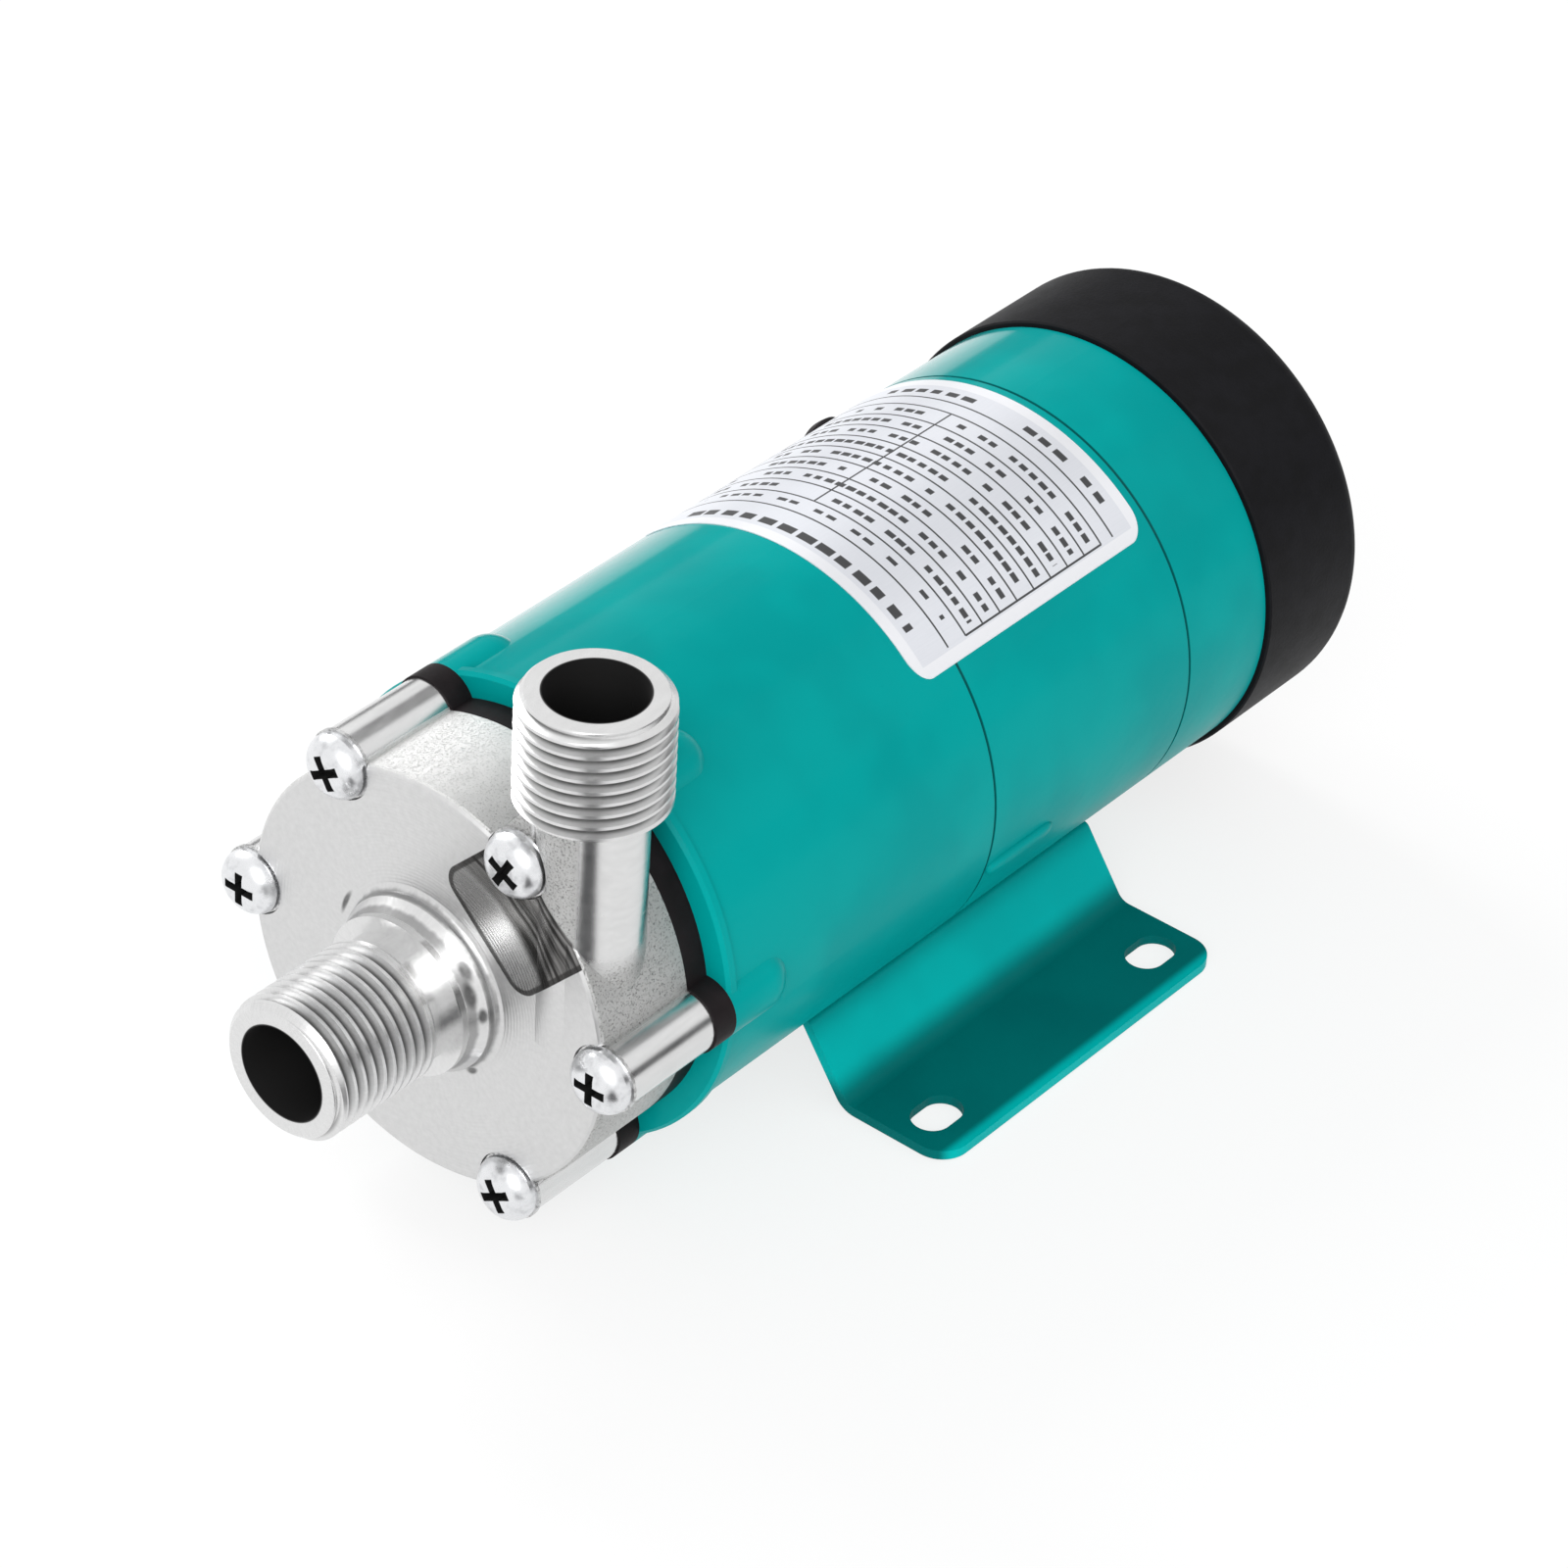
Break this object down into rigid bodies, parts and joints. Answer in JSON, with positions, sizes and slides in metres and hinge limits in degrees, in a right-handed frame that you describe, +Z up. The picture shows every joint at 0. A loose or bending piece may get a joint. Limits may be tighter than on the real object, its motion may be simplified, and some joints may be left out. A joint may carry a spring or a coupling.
{
  "type": "magnetic drive pump",
  "caption": "Small horizontal magnetic drive pump: stainless head with threaded inlet and side outlet, motor and slotted feet.",
  "frame": {"origin": "centre of the four foot slots, on the underside of the feet", "axes": "+X along the pump axis from the inlet to the fan cover, +Z up, the outlet stands on the -Y side"},
  "size_m": [0.1935, 0.0946, 0.0935],
  "materials": {
    "cast_stainless": "satin",
    "chromed_screws": "polished",
    "screw_washers": "satin",
    "seal_rubber": "matte",
    "black_flange": "satin",
    "ceramic": "polished",
    "impeller_plastic": "satin",
    "magnet": "satin",
    "bush_plastic": "satin",
    "teal_enamel": "gloss",
    "teal_feet": "gloss",
    "dark_steel": "satin",
    "bearing_steel": "polished",
    "lamination": "satin",
    "cage_aluminium": "satin",
    "winding_copper": "satin",
    "black_cover": "satin",
    "label_silver": "satin"
  },
  "bodies": {
    "pump_body": {"front_casing": "cast_stainless", "casing_screws": "chromed_screws", "casing_washers": "screw_washers", "casing_o_ring": "seal_rubber", "rear_casing": "black_flange", "spindle": "ceramic", "front_thrust_ring": "ceramic", "rear_thrust_ring": "ceramic", "bracket": "teal_enamel", "front_bearing_outer_ring": "bearing_steel", "rear_bearing_outer_ring": "bearing_steel", "motor_shell": "teal_enamel", "stator_core": "lamination", "stator_windings": "winding_copper", "tie_bolts": "dark_steel", "end_bell": "teal_enamel", "fan_cover": "black_cover", "fan_cover_screws": "chromed_screws", "base_bracket": "teal_feet", "base_screws": "chromed_screws", "base_nuts": "dark_steel", "rating_label": "label_silver", "cable_gland": "black_flange"},
    "drive_rotor": {"motor_shaft": "bearing_steel", "rotor_core": "lamination", "rotor_cage": "cage_aluminium", "front_bearing_inner_ring": "bearing_steel", "rear_bearing_inner_ring": "bearing_steel", "front_bearing_balls": "bearing_steel", "rear_bearing_balls": "bearing_steel", "drive_yoke": "dark_steel", "drive_magnets": "magnet", "set_screw": "dark_steel", "cooling_fan": "black_cover", "fan_clip": "dark_steel"},
    "impeller_rotor": {"impeller": "impeller_plastic", "magnet_capsule": "impeller_plastic", "inner_magnet": "magnet", "capsule_lid": "impeller_plastic", "bearing_bush": "bush_plastic"}
  },
  "joints": [
    {"name": "rotor_spin", "type": "hinge", "parent": "pump_body", "child": "drive_rotor", "pos_m": [0, 0, 0.04], "axis": [1, 0, 0], "continuous": true},
    {"name": "impeller_spin", "type": "hinge", "parent": "pump_body", "child": "impeller_rotor", "pos_m": [-0.08, 0, 0.04], "axis": [1, 0, 0], "continuous": true}
  ],
  "couplings": [
    {"joint": "impeller_spin", "follows": "rotor_spin", "ratio": 1}
  ]
}
